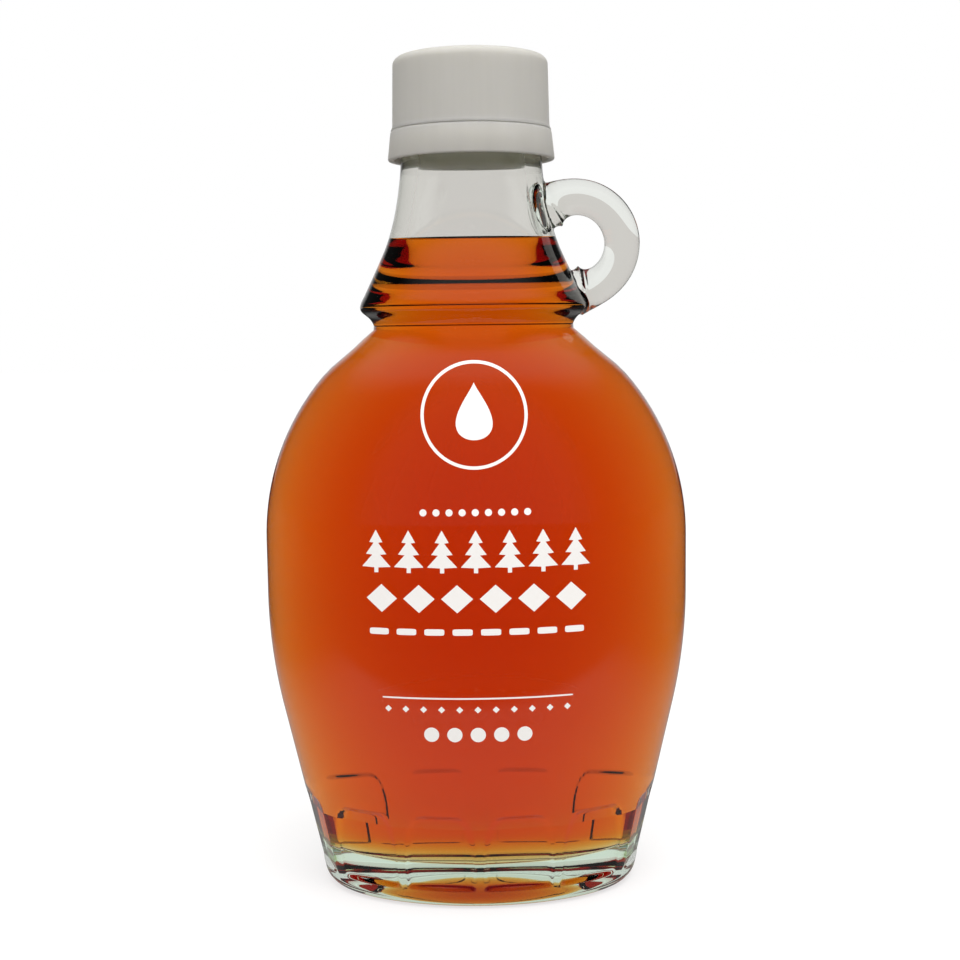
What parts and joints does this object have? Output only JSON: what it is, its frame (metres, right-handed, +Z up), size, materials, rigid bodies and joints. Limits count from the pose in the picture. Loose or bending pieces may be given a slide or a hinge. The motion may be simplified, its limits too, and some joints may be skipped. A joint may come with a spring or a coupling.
{
  "type": "maple syrup bottle",
  "caption": "Oval clear glass flask with a ring handle and panelled foot, filled with amber syrup and closed by a translucent screw cap with a tamper band.",
  "frame": {"origin": "middle of the base, on the surface the bottle stands on", "axes": "+Z up along the bottle, -Y out of the printed front face, +X towards the handle"},
  "size_m": [0.077, 0.053, 0.1507],
  "materials": {
    "clear_glass": "clear soda-lime container glass, fire-polished",
    "amber_syrup": "clear dark amber liquid",
    "cap_plastic": "moulded natural polypropylene, milky and slightly see-through"
  },
  "bodies": {
    "root": {"glass_bottle": "clear_glass", "syrup": "amber_syrup", "screw_cap": "cap_plastic", "tamper_band": "cap_plastic"}
  },
  "joints": []
}
